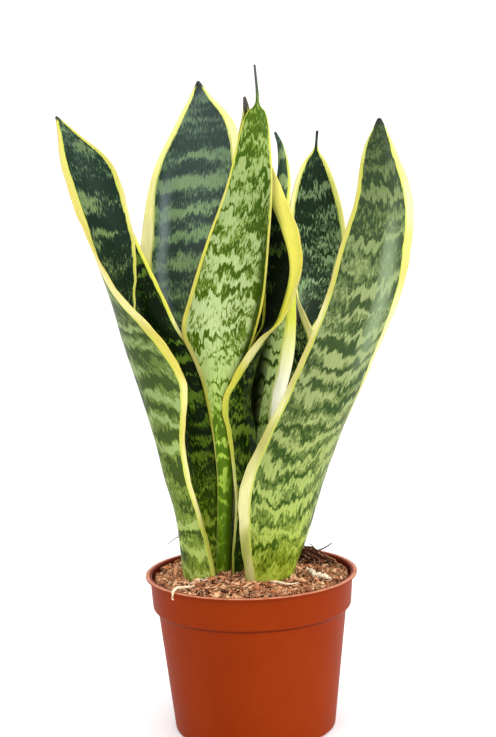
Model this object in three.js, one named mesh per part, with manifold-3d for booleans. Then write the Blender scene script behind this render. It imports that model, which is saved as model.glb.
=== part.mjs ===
// A potted snake plant: eight stiff sword leaves standing in soil in a 12 cm plastic grower's pot.
//
// Millimetres, +Z up. The origin is the centre of the pot's underside, where the pot rests.
// +Y points from the front of the plant to its back, and +X to its right.

import * as THREE from 'three';
import { mergeVertices } from 'three/addons/utils/BufferGeometryUtils.js';
import Module from 'manifold-3d';

const wasm = await Module();
wasm.setup();

// ---------------------------------------------------------------- driving dimensions

const gap = 0.3; // clearance left between two pieces that touch in the real plant
const roundSteps = 60; // flats around the pot and the soil

// Pot
const potHeight = 90;
const lipRadius = 60; // half of the pot's 12 cm trade size
const lipDepth = 1.2; // thickness of the lip
const lipRound = 0.3; // bevel on the lip's edges
const collarRadius = 57.4; // outside of the collar, just under the lip
const collarDrop = 19; // from the pot's top to the foot of the collar
const shoulderRise = 1.6; // height of the slope under the collar
const wallTopRadius = 53.4; // outside of the wall, just under the slope
const wallFootRadius = 45.6; // outside of the wall, at the rounded bottom edge
const collarTaper = 1.2; // how much narrower the collar is at its foot than at its top
const wallThickness = 1;
const footRingInner = 36;
const footRingOuter = 44;
const footRound = 2.4; // height of the rounding between the foot ring and the wall
const padRadius = 16; // flat pad in the middle of the underside
const channelHeight = 2; // how far the drainage channel stands off the ground
const channelSlope = 1.5; // run of the channel's sloping sides
const floorThickness = 1.4;
const edgeRound = 0.6; // bevel in the pot's inner corners
const drainHoles = 8;
const drainHoleRadius = 4;
const drainHoleSteps = 20; // flats around each hole

// Soil
const soilEdgeHeight = 87; // where the soil meets the pot's wall
const soilMound = 2.5; // how much higher it is in the middle
const socketDepth = 3; // how far a leaf's socket runs on below the leaf, into the rhizome's hollow

// Leaf blade
const bladeThickBase = 3.8;
const bladeThickTip = 2.0;
const marginThickness = 0.9;
const ringsPerStation = 3;
const halfRingPoints = 7; // points across each side of the blade

// Each leaf is a list of stations from its buried foot to its tip:
//   [x, y, z, width, faces, hollow]
// x, y, z is the point midway between the leaf's two margins, and width is the distance
// between them. The blade is an arc: hollow is how deep it is, and faces is the way its
// hollow side looks, in degrees: 0 to the front, 90 to the right and 180 to the back.
const leaves = {
  left_leaf: [
    [-28, -4, 64, 16, 140, 6],
    [-28.5, -5, 92, 21, 142, 8],
    [-33.4, -7, 124, 17, 142, 6],
    [-38.9, -9, 148, 17, 140, 6.5],
    [-42, -10.5, 170, 19.5, 140, 8],
    [-44.9, -12, 202, 36, 134, 13],
    [-53, -15, 229, 45, 112, 13],
    [-62, -18, 253, 47, 84, 10],
    [-72.5, -19, 290, 38.6, 50.8, 7],
    [-81.5, -19, 321, 31, 32.3, 5],
    [-90.9, -19, 338, 12.9, 28.6, 2],
    [-97, -19, 348, 1.5, 34, 0.4],
  ],
  inner_left_leaf: [
    [-21, 9, 64, 15, 168, 2.5],
    [-21.5, 9.2, 92, 16, 168, 2.5],
    [-24, 10, 119, 22, 166, 3],
    [-30, 13, 165, 30, 158, 5],
    [-40, 17.5, 208, 32, 154, 7],
    [-50, 15.5, 231, 27, 154, 7],
    [-57, 18, 248, 26, 156, 6],
    [-65, 22, 271, 20, 158, 5],
    [-70, 24, 291, 12, 160, 3],
    [-73, 25, 307, 1.6, 160, 0.4],
  ],
  back_left_leaf: [
    [-15, 14, 64, 14, 5, 5],
    [-15, 14, 92, 16, 5, 6],
    [-19, 20, 150, 27, 5, 8],
    [-24, 27, 198, 43, 5, 9],
    [-28, 34, 250, 62, 5, 10],
    [-26.3, 38, 280, 61.5, 5, 9],
    [-23, 42, 314, 54, 5, 7],
    [-19, 44, 341, 35, 5, 4],
    [-21, 45, 358, 12, 5, 1.5],
    [-22, 45, 366, 1.6, 5, 0.4],
  ],
  centre_leaf: [
    [-16, 3, 64, 7.5, 180, 3],
    [-16, 3, 92, 7.5, 180, 3],
    [-13, 4, 145, 9, 180, 3.5],
    [-15, 6, 188, 15, 180, 4.5],
    [-14, 7, 208, 28, 180, 5],
    [-14, 7, 227, 42, 180, 5],
    [-9, 7, 247, 42, 180, 5],
    [-2, 5, 277, 35, 180, 4],
    [5, 4, 306, 26, 180, 3],
    [8.5, 3, 332, 18, 180, 2],
    [10, 3, 346, 11.5, 180, 1.5],
    [10.8, 3, 351.5, 3, 180, 0.6],
    [11, 3, 358, 1.5, 180, 0.4],
    [10, 3, 373, 1, 180, 0.3],
  ],
  inner_right_leaf: [
    [-7, 4.7, 64, 10, -140, 4],
    [-7, 4.7, 96, 10, -140, 4],
    [-3, 6, 131, 14, -135, 6],
    [-5, 7, 166, 20, -125, 8],
    [-9, 9, 186, 24, -112, 10],
    [-5, 10, 202, 26, -100, 9],
    [6, 7, 221, 22, -90, 5],
    [16.2, 7, 234, 26.8, -67.2, 4],
    [21, 8, 260, 33.3, -47.3, 7],
    [17.4, 9, 282, 34.6, -37.1, 7],
    [11, 10, 304, 28, -28, 5],
    [6, 13, 332, 14, -20, 2],
    [5, 15, 347, 5, -20, 1],
    [4, 15, 356, 1.5, -20, 0.4],
  ],
  inner_back_leaf: [
    [2, 18, 64, 9, 155, 3],
    [3, 18, 92, 10, 155, 4],
    [7, 21, 162, 18, 160, 4],
    [16, 24, 210, 25, 162, 5],
    [18.5, 27, 255, 24, 162, 4],
    [21, 28, 287, 14, 162, 3],
    [25, 29, 311, 8, 160, 2],
    [24, 29, 327, 4, 160, 1],
    [21, 29, 336, 1.4, 160, 0.4],
  ],
  back_right_leaf: [
    [19, 30, 64, 11, 130, 4],
    [20, 30, 97, 12, 130, 5],
    [25, 30, 155, 22, 128, 8],
    [34, 32, 192, 30, 114, 11],
    [41, 36, 223, 36, 85, 13],
    [45, 39, 245, 38, 38, 9],
    [44, 38, 266, 35, 8, 6],
    [43, 38, 293, 30, -5, 4],
    [43, 38, 315, 17, -5, 2],
    [44, 39, 326, 2.6, -5, 0.6],
    [45, 39, 336, 1.2, -5, 0.4],
  ],
  right_leaf: [
    [8, -10, 64, 20, -150, 8],
    [10, -12, 92, 30, -150, 11],
    [13, -14, 114, 43, -150, 15],
    [19, -15.5, 145, 53.5, -152, 16],
    [30, -18, 171, 50, -155, 14],
    [47, -23, 206, 45, -160, 11],
    [64, -30, 246, 43, -165, 9],
    [71, -34, 273, 40, -168, 7],
    [76, -37, 299, 32, -170, 5],
    [74, -40, 324, 19, -170, 3],
    [74, -42, 337, 7, -170, 1],
    [74, -42, 342, 2, -170, 0.5],
  ],
};

// Roots and fibres lying on the soil: [x, y, z] points along each, and its thickness.
const strandMesh = { steps: 9, curveSegments: 4 };
const strands = {
  root_over_lip: {
    thickness: 1.8,
    points: [
      [-30, -27.5, 89.6], [-36.5, -32.5, 90.2], [-40.6, -38.2, 91.7], [-42.9, -43.9, 91],
      [-43.2, -44.6, 86.4],
    ],
  },
  root_right: {
    thickness: 3,
    points: [[31, -0.4, 90.9], [33.6, -8, 91.3], [35.5, -15.5, 90.6], [39, -18, 91], [43.5, -22, 90]],
  },
  root_front: {
    thickness: 1.4,
    points: [[10.5, -27, 90.6], [15, -30, 90.9], [20, -32.5, 90.4], [26, -28.5, 89.8]],
  },
  fibre_back: {
    thickness: 0.9,
    points: [[31, 34, 89.2], [38, 38, 90.6], [43.5, 38.5, 92.6], [48, 36.5, 96]],
  },
  fibre_back_low: { thickness: 0.9, points: [[21, 41, 88.9], [32, 29, 89.2], [50, 17, 88.8]] },
  fibre_left: {
    thickness: 0.8,
    points: [[-33, 13, 89.4], [-35, 14, 103], [-41, 14, 107.6], [-47.3, 14, 103.8]],
  },
};

// The underground stem that the leaves grow from: ellipsoids, each with its centre, its half
// length and half width, and the direction of its length in degrees.
const rhizomeHalfThickness = 8.5;
const leafFootHeight = 64;
const lobeSteps = [18, 10]; // flats around a lobe, and from its top to its bottom
const rhizomeLobes = [
  { centre: [-6, 11], halfLength: 33, halfWidth: 13, direction: 32 },
  { centre: [5, -3], halfLength: 18, halfWidth: 10, direction: -55 },
];

// ---------------------------------------------------------------- colours

const colours = {
  pot: '#a8401f',
  soil: '#7a4a38',
  root: '#e6d2a4',
  fibre: '#5a3a2a',
  leafDark: '#34502f',
  leafBright: '#7fa03c',
};

const finish = (color, roughness) => new THREE.MeshStandardMaterial({ color, roughness, metalness: 0 });

// ---------------------------------------------------------------- solids

// A closed mesh as a solid: shared vertices are merged, and collapsed triangles dropped.
function toSolid(geometry) {
  geometry.deleteAttribute('normal');
  geometry.deleteAttribute('uv');
  const merged = mergeVertices(geometry, 1e-3);
  const corners = merged.index.array;
  const kept = [];
  for (let i = 0; i < corners.length; i += 3) {
    const [a, b, c] = corners.slice(i, i + 3);
    if (a !== b && b !== c && c !== a) kept.push(a, b, c);
  }
  const vertProperties = merged.attributes.position.array;
  const mesh = new wasm.Mesh({ numProp: 3, vertProperties, triVerts: new Uint32Array(kept) });
  return new wasm.Manifold(mesh);
}

function toGeometry(solid) {
  const mesh = solid.getMesh();
  const geometry = new THREE.BufferGeometry();
  geometry.setAttribute('position', new THREE.BufferAttribute(mesh.vertProperties, 3));
  geometry.setIndex(new THREE.BufferAttribute(mesh.triVerts, 1));
  geometry.computeVertexNormals();
  return geometry;
}

// A profile of [radius, height] pairs, turned about the Z axis.
function turned(profile) {
  const points = profile.map(([radius, height]) => new THREE.Vector2(radius, height));
  return new THREE.LatheGeometry(points, roundSteps).rotateX(Math.PI / 2);
}

// ---------------------------------------------------------------- pot

const collarFoot = potHeight - collarDrop;
const wallTop = collarFoot - shoulderRise;

// The outside radius of the plain wall at a height, from the foot to the shoulder.
function wallRadius(height) {
  return wallFootRadius + (wallTopRadius - wallFootRadius) * height / wallTop;
}

// From the middle of the underside out along the bottom and up to the top of the lip.
function potOutside() {
  const lipFoot = potHeight - lipDepth;
  return [
    [0, 0],
    [padRadius, 0],
    [padRadius + channelSlope, channelHeight],
    [footRingInner - channelSlope, channelHeight],
    [footRingInner, 0],
    [footRingOuter, 0],
    [wallRadius(0), footRound / 3],
    [wallRadius(footRound), footRound],
    [wallTopRadius, wallTop],
    [collarRadius - collarTaper, collarFoot],
    [collarRadius, lipFoot - lipRound],
    [collarRadius + lipRound, lipFoot],
    [lipRadius - lipRound, lipFoot],
    [lipRadius, lipFoot + lipRound],
    [lipRadius, potHeight - lipRound],
    [lipRadius - lipRound, potHeight],
  ];
}

// From the top of the lip down the inside of the wall and in along the floor.
function potInside() {
  const collarInner = collarRadius - wallThickness;
  const channelTop = channelHeight + floorThickness;
  return [
    [collarInner + edgeRound, potHeight],
    [collarInner, potHeight - edgeRound],
    [collarInner - collarTaper, collarFoot + edgeRound],
    [wallTopRadius - wallThickness, wallTop + edgeRound],
    [wallRadius(2 * footRound) - wallThickness, 2 * footRound],
    [footRingOuter - wallThickness, footRound],
    [footRingOuter - footRound, floorThickness],
    [footRingInner + edgeRound, floorThickness],
    [footRingInner - edgeRound, channelTop],
    [padRadius + edgeRound, channelTop],
    [padRadius - edgeRound, floorThickness],
    [0, floorThickness],
  ];
}

function drainHole(index) {
  const angle = 2 * Math.PI * (index + 0.5) / drainHoles;
  const ringRadius = (padRadius + footRingInner) / 2;
  const length = 4 * (channelHeight + floorThickness);
  const hole = new THREE.CylinderGeometry(drainHoleRadius, drainHoleRadius, length, drainHoleSteps);
  hole.rotateX(Math.PI / 2);
  hole.translate(ringRadius * Math.cos(angle), ringRadius * Math.sin(angle), channelHeight);
  return toSolid(hole);
}

function pot() {
  let solid = toSolid(turned([...potOutside(), ...potInside()]));
  for (let i = 0; i < drainHoles; i += 1) solid = solid.subtract(drainHole(i));
  return solid;
}

// ---------------------------------------------------------------- leaves

// A smooth curve through the stations, as a function of the way along the leaf from 0 to 1.
function bladeCurve(stations) {
  const curveOf = (pick) => new THREE.CatmullRomCurve3(
    stations.map((station) => new THREE.Vector3(...pick(station))), false, 'catmullrom', 0.5);
  const middle = curveOf((station) => station.slice(0, 3));
  const form = curveOf((station) => station.slice(3));
  return (along) => ({ middle: middle.getPoint(along), form: form.getPoint(along) });
}

// The thickness of the blade on its midline. It narrows with the blade where that is slender.
function midThickness(along, width) {
  const broad = THREE.MathUtils.lerp(bladeThickBase, bladeThickTip, along);
  return Math.min(broad, marginThickness + width / 3);
}

// One level ring of the blade: its outer side from margin to margin, then its inner side back.
function bladeRing({ middle, form }, along, grow) {
  const width = Math.max(form.x, marginThickness);
  const hollow = Math.max(form.z, width / 10);
  const faces = THREE.MathUtils.degToRad(form.y);
  const across = new THREE.Vector3(Math.cos(faces), Math.sin(faces), 0);
  const outward = new THREE.Vector3(-Math.sin(faces), Math.cos(faces), 0);
  const radius = (width * width / 4 + hollow * hollow) / (2 * hollow);
  const halfAngle = 2 * Math.atan(2 * hollow / width);
  const sweep = halfAngle + grow / radius;
  const swell = midThickness(along, width) - marginThickness;
  const ring = [];
  for (const side of [1, -1]) {
    for (let i = 0; i < halfRingPoints; i += 1) {
      const share = side * (1 - 2 * i / (halfRingPoints - 1)); // from 1 at one margin to -1 at the other
      const halfThickness = (marginThickness + swell * (1 - share * share)) / 2 + grow;
      const reach = radius + side * halfThickness;
      const point = middle.clone();
      point.addScaledVector(across, reach * Math.sin(sweep * share));
      point.addScaledVector(outward, reach * Math.cos(sweep * share) - radius * Math.cos(halfAngle));
      ring.push(point);
    }
  }
  return ring;
}

// The rings of a blade from its foot to its tip. grow thickens it all round and lengthens its
// foot, for the socket that the leaf makes in the soil.
function bladeRings(stations, grow) {
  const at = bladeCurve(stations);
  const steps = (stations.length - 1) * ringsPerStation;
  const rings = [];
  for (let i = 0; i <= steps; i += 1) rings.push(bladeRing(at(i / steps), i / steps, grow));
  if (grow > 0) rings.unshift(rings[0].map((point) => point.clone().setZ(point.z - socketDepth)));
  return rings;
}

// The triangles that join each ring to the next, and close the two ends.
function bladeTriangles(ringCount) {
  const around = 2 * halfRingPoints;
  const triangles = [];
  for (let i = 0; i < ringCount - 1; i += 1) {
    for (let j = 0; j < around; j += 1) {
      const a = i * around + j;
      const b = i * around + (j + 1) % around;
      triangles.push(a, b, b + around, a, b + around, a + around);
    }
  }
  const last = (ringCount - 1) * around;
  for (let j = 0; j < halfRingPoints - 1; j += 1) {
    const k = around - 1 - j;
    triangles.push(j, k, k - 1, j, k - 1, j + 1);
    triangles.push(last + j, last + k - 1, last + k, last + j, last + j + 1, last + k - 1);
  }
  return triangles;
}

function blade(stations, grow = 0) {
  const rings = bladeRings(stations, grow);
  const positions = rings.flat().flatMap((point) => [point.x, point.y, point.z]);
  const triangles = bladeTriangles(rings.length);
  const geometry = new THREE.BufferGeometry();
  geometry.setAttribute('position', new THREE.Float32BufferAttribute(positions, 3));
  geometry.setIndex(triangles);
  return toSolid(geometry);
}

// ---------------------------------------------------------------- rhizome

// grow swells it all round, for the hollow that it fills in the soil.
function rhizome(grow = 0) {
  const middleHeight = leafFootHeight - gap - rhizomeHalfThickness;
  const lobes = rhizomeLobes.map(({ centre, halfLength, halfWidth, direction }) => {
    const lobe = new THREE.SphereGeometry(1, ...lobeSteps).rotateX(Math.PI / 2);
    lobe.scale(halfLength + grow, halfWidth + grow, rhizomeHalfThickness + grow);
    lobe.rotateZ(THREE.MathUtils.degToRad(direction));
    lobe.translate(...centre, middleHeight);
    return toSolid(lobe);
  });
  return lobes.reduce((whole, lobe) => whole.add(lobe));
}

// ---------------------------------------------------------------- soil

const clearance = gap + 0.1; // a little over the gap, because flats cut inside their curve

// From the middle of the pot's floor out to its wall, up the wall and in over the mound.
function soilProfile() {
  const floorTop = channelHeight + floorThickness + gap;
  const skin = wallThickness + clearance;
  const topRadius = collarRadius - skin - edgeRound / 2;
  const mound = (share) => [topRadius * share, soilEdgeHeight + soilMound * (1 - share * share)];
  return [
    [0, floorTop],
    [footRingOuter - footRound - wallThickness, floorTop],
    [wallRadius(3 * footRound) - skin, 3 * footRound],
    [wallTopRadius - skin, wallTop + edgeRound + gap],
    [collarRadius - collarTaper - skin, collarFoot + edgeRound + gap],
    mound(1),
    mound(0.75),
    mound(0.5),
    mound(0.25),
    mound(0),
  ];
}

// The soil is open round every leaf and round the rhizome. The thin flakes that this leaves
// between two leaves, joined to nothing, are dropped.
function soil() {
  let solid = toSolid(turned(soilProfile())).subtract(rhizome(clearance));
  for (const stations of Object.values(leaves)) solid = solid.subtract(blade(stations, clearance));
  const lumps = solid.decompose();
  return lumps.reduce((largest, lump) => (lump.volume() > largest.volume() ? lump : largest));
}

// ---------------------------------------------------------------- roots and fibres

function strand({ thickness, points }) {
  const path = new THREE.CatmullRomCurve3(points.map((point) => new THREE.Vector3(...point)));
  const section = new THREE.Shape().absarc(0, 0, thickness / 2, 0, 2 * Math.PI);
  return new THREE.ExtrudeGeometry(section, { ...strandMesh, extrudePath: path });
}

// ---------------------------------------------------------------- the plant

const plant = new THREE.Group();

function addPiece(name, geometry, material) {
  const mesh = new THREE.Mesh(geometry, material);
  mesh.name = name;
  plant.add(mesh);
}

addPiece('pot', toGeometry(pot()), finish(colours.pot, 0.45));
addPiece('soil', toGeometry(soil()), finish(colours.soil, 0.95));
addPiece('rhizome', toGeometry(rhizome()), finish(colours.root, 0.7));
for (const [name, stations] of Object.entries(leaves)) {
  const colour = name === 'centre_leaf' ? colours.leafBright : colours.leafDark;
  addPiece(name, toGeometry(blade(stations)), finish(colour, 0.35));
}
for (const [name, shape] of Object.entries(strands)) {
  const colour = name.startsWith('root') ? colours.root : colours.fibre;
  addPiece(name, strand(shape), finish(colour, 0.8));
}

export default plant;
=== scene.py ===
# %% [markdown]
# # A potted snake plant
#
# This lesson dresses a CAD model of a young snake plant as the real thing looks: eight stiff,
# banded leaves with yellow margins, growing from crumbly soil in a thin plastic grower's pot.
# The CAD model has every piece in its place and at its size. Here each one gets a finer mesh
# in the same place, and a material made of nodes. Lengths in the tables are millimetres, as a
# grower would measure them, and Blender's own unit is the metre.

# %% The CAD model
import math

import bmesh
import bpy
import numpy as np
from mathutils import Matrix, Vector, noise


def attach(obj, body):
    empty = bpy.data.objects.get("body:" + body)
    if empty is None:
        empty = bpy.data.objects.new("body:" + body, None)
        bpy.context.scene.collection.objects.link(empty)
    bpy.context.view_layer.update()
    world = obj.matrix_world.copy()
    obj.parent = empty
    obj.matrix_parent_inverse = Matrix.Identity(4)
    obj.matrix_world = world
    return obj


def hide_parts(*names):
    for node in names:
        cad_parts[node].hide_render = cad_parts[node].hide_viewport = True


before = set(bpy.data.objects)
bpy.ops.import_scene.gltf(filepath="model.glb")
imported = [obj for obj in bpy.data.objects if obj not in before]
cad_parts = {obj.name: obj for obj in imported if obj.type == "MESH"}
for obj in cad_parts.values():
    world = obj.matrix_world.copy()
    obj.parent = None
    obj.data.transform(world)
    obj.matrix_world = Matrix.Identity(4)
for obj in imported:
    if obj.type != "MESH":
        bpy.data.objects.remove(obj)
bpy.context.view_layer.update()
MM = 0.001
print("CAD nodes:", sorted(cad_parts))

# %% [markdown]
# ## Colours and nodes
#
# Colours are hex values, which are in sRGB, matched in render after render. Blender's
# sockets take linear light, so one function turns the one into the other. A material is a tree
# of many small nodes. One helper adds any of them: it gets the kind of node, what goes into its
# sockets, which is a value, a hex colour or another node's output, and the node's own settings.
#
# Two sets of settings recur, so they have names. An eased map range changes slowly at both ends
# of its range: its sockets 1 and 2 are the range that it reads, and 3 and 4 what it gives there,
# 0 and 1 if left alone. A mix of two colours takes the share of the second one in socket 0, and
# the colours in 6 and 7.


# %% Helpers for materials
EASED = {"interpolation_type": "SMOOTHSTEP"}
TWO_COLOURS = {"data_type": "RGBA", "out": 2}


def linear(hex_colour):
    """An sRGB hex colour as linear red, green, blue and alpha."""
    parts = [int(hex_colour[i:i + 2], 16) / 255 for i in (1, 3, 5)]
    return [c / 12.92 if c <= 0.04045 else ((c + 0.055) / 1.055) ** 2.4 for c in parts] + [1.0]


def add(tree, kind, sockets=None, out=0, stops=None, **settings):
    """Adds a node and returns one of its outputs. stops are a colour ramp's places and colours."""
    node = tree.nodes.new("ShaderNode" + kind)
    for name, value in settings.items():
        setattr(node, name, value)
    for name, value in (sockets or {}).items():
        if isinstance(value, bpy.types.NodeSocket):
            tree.links.new(value, node.inputs[name])
        else:
            node.inputs[name].default_value = linear(value) if isinstance(value, str) else value
    if stops:
        ramp = node.color_ramp.elements
        ramp.remove(ramp[1])
        ramp[0].position, ramp[0].color = stops[0][0], linear(stops[0][1])
        for place, hex_colour in stops[1:]:
            ramp.new(place).color = linear(hex_colour)
    return node.outputs[out] if node.outputs else node


def new_material(name):
    """An empty material and its node tree."""
    material = bpy.data.materials.new(name)
    material.use_nodes = True
    material.node_tree.nodes.clear()
    return material, material.node_tree


print("terracotta in linear light:", [round(c, 3) for c in linear("#A43A16")])

# %% [markdown]
# ## Making a piece
#
# Every mesh here is worked out as points and faces in numpy, because a plant's shapes are
# curves with numbers behind them. A piece is told which body it rides on, which CAD node it
# stands for and which finish it takes. Named numbers on its points, such as how far a point is
# from the leaf's margin, go along as attributes, which a material can read.


# %% Helpers for meshes
def make_piece(name, points, faces, materials, replaces=(), attributes=None, face_slots=None):
    """A smooth-shaded mesh object from points in millimetres."""
    mesh = bpy.data.meshes.new(name)
    mesh.from_pydata((np.asarray(points) * MM).tolist(), [], faces)
    for material in materials:
        mesh.materials.append(material)
    for key, values in (attributes or {}).items():
        mesh.attributes.new(key, "FLOAT", "POINT").data.foreach_set("value", np.asarray(values, np.float32))
    if face_slots is not None:
        mesh.polygons.foreach_set("material_index", face_slots)
    mesh.shade_smooth()
    piece = bpy.data.objects.new(name, mesh)
    bpy.context.scene.collection.objects.link(piece)
    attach(piece, "root")
    if replaces:
        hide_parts(*replaces)
    print(f"{name}: {len(mesh.vertices)} points, {len(mesh.polygons)} faces")
    return piece


def join_rings(ring_count, around, first=0):
    """The quads between rings of points, each ring closed on itself."""
    ring, j = np.meshgrid(np.arange(ring_count - 1), np.arange(around), indexing="ij")
    a = first + ring * around + j
    b = first + ring * around + (j + 1) % around
    return np.stack([a, b, b + around, a + around], -1).reshape(-1, 4).tolist()


def smooth_rows(rows, steps):
    """Rows of numbers joined by a Catmull-Rom curve, with steps rows for each stretch."""
    rows = np.array(rows, float)
    ends = np.vstack([2 * rows[0] - rows[1], rows, 2 * rows[-1] - rows[-2]])
    u = (np.arange(steps) / steps)[:, None]
    made = []
    for a, b, c, d in zip(ends, ends[1:], ends[2:], ends[3:]):
        made.append(b + (c - a) * u / 2 + (2 * a - 5 * b + 4 * c - d) * u ** 2 / 2
                    + (3 * b - a - 3 * c + d) * u ** 3 / 2)
    return np.vstack(made + [rows[-1:]])


# %% [markdown]
# ## The leaves' shape
#
# A leaf of this plant is a stiff fleshy blade, thick at the midline and thin at its two
# margins, and hollow on one side like a gutter. It twists as it rises, so some leaves show
# their hollow inner face near the top and their outer face near the foot. A loft says all of
# that with few numbers: level rings through stations up the leaf, the same stations as the CAD
# model's. x, y and z are the point midway between the margins, width is the distance between
# them, faces is the way the hollow side looks (0 front, 90 right, 180 back) and hollow is how
# deep it is. A box with subdivision could never twist so evenly.

# %% Stations of each leaf: x, y, z, width, faces, hollow
LEAVES = {
    "left_leaf": [
        (-28, -4, 64, 16, 140, 6), (-28.5, -5, 92, 21, 142, 8), (-33.4, -7, 124, 17, 142, 6),
        (-38.9, -9, 148, 17, 140, 6.5), (-42, -10.5, 170, 19.5, 140, 8), (-44.9, -12, 202, 36, 134, 13),
        (-53, -15, 229, 45, 112, 13), (-62, -18, 253, 47, 84, 10), (-72.5, -19, 290, 38.6, 50.8, 7),
        (-81.5, -19, 321, 31, 32.3, 5), (-90.9, -19, 338, 12.9, 28.6, 2), (-97, -19, 348, 1.5, 34, 0.4)],
    "inner_left_leaf": [
        (-21, 9, 64, 15, 168, 2.5), (-21.5, 9.2, 92, 16, 168, 2.5), (-24, 10, 119, 22, 166, 3),
        (-30, 13, 165, 30, 158, 5), (-40, 17.5, 208, 32, 154, 7), (-50, 15.5, 231, 27, 154, 7),
        (-57, 18, 248, 26, 156, 6), (-65, 22, 271, 20, 158, 5), (-70, 24, 291, 12, 160, 3),
        (-73, 25, 307, 1.6, 160, 0.4)],
    "back_left_leaf": [
        (-15, 14, 64, 14, 5, 5), (-15, 14, 92, 16, 5, 6), (-19, 20, 150, 27, 5, 8),
        (-24, 27, 198, 43, 5, 9), (-28, 34, 250, 62, 5, 10), (-26.3, 38, 280, 61.5, 5, 9),
        (-23, 42, 314, 54, 5, 7), (-19, 44, 341, 35, 5, 4), (-21, 45, 358, 12, 5, 1.5),
        (-22, 45, 366, 1.6, 5, 0.4)],
    "centre_leaf": [
        (-16, 3, 64, 7.5, 180, 3), (-16, 3, 92, 7.5, 180, 3), (-13, 4, 145, 9, 180, 3.5),
        (-15, 6, 188, 15, 180, 4.5), (-14, 7, 208, 28, 180, 5), (-14, 7, 227, 42, 180, 5),
        (-9, 7, 247, 42, 180, 5), (-2, 5, 277, 35, 180, 4), (5, 4, 306, 26, 180, 3),
        (8.5, 3, 332, 18, 180, 2), (10, 3, 346, 11.5, 180, 1.5), (10.8, 3, 351.5, 3, 180, 0.6),
        (11, 3, 358, 1.5, 180, 0.4), (10, 3, 373, 1, 180, 0.3)],
    "inner_right_leaf": [
        (-7, 4.7, 64, 10, -140, 4), (-7, 4.7, 96, 10, -140, 4), (-3, 6, 131, 14, -135, 6),
        (-5, 7, 166, 20, -125, 8), (-9, 9, 186, 24, -112, 10), (-5, 10, 202, 26, -100, 9),
        (6, 7, 221, 22, -90, 5), (16.2, 7, 234, 26.8, -67.2, 4), (21, 8, 260, 33.3, -47.3, 7),
        (17.4, 9, 282, 34.6, -37.1, 7), (11, 10, 304, 28, -28, 5), (6, 13, 332, 14, -20, 2),
        (5, 15, 347, 5, -20, 1), (4, 15, 356, 1.5, -20, 0.4)],
    "inner_back_leaf": [
        (2, 18, 64, 9, 155, 3), (3, 18, 92, 10, 155, 4), (7, 21, 162, 18, 160, 4),
        (16, 24, 210, 25, 162, 5), (18.5, 27, 255, 24, 162, 4), (21, 28, 287, 14, 162, 3),
        (25, 29, 311, 8, 160, 2), (24, 29, 327, 4, 160, 1), (21, 29, 336, 1.4, 160, 0.4)],
    "back_right_leaf": [
        (19, 30, 64, 11, 130, 4), (20, 30, 97, 12, 130, 5), (25, 30, 155, 22, 128, 8),
        (34, 32, 192, 30, 114, 11), (41, 36, 223, 36, 85, 13), (45, 39, 245, 38, 38, 9),
        (44, 38, 266, 35, 8, 6), (43, 38, 293, 30, -5, 4), (43, 38, 315, 17, -5, 2),
        (44, 39, 326, 2.6, -5, 0.6), (45, 39, 336, 1.2, -5, 0.4)],
    "right_leaf": [
        (8, -10, 64, 20, -150, 8), (10, -12, 92, 30, -150, 11), (13, -14, 114, 43, -150, 15),
        (19, -15.5, 145, 53.5, -152, 16), (30, -18, 171, 50, -155, 14), (47, -23, 206, 45, -160, 11),
        (64, -30, 246, 43, -165, 9), (71, -34, 273, 40, -168, 7), (76, -37, 299, 32, -170, 5),
        (74, -40, 324, 19, -170, 3), (74, -42, 337, 7, -170, 1), (74, -42, 342, 2, -170, 0.5)],
}
print({name: f"{rows[-1][2]} mm tall" for name, rows in LEAVES.items()})

# %% [markdown]
# The yellow margin is part of the leaf's colour, not a rim stuck on. Its width changes up the
# leaf, and is seldom the same on the two sides, so it has a table of its own: the height, then
# the width of the stripe along the leaf's first margin and along its second one. The first is
# the left one on a leaf that faces the viewer, and the right one on a leaf seen from outside.
# Less than nothing stands for a stalk or tip with no stripe at all.

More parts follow.
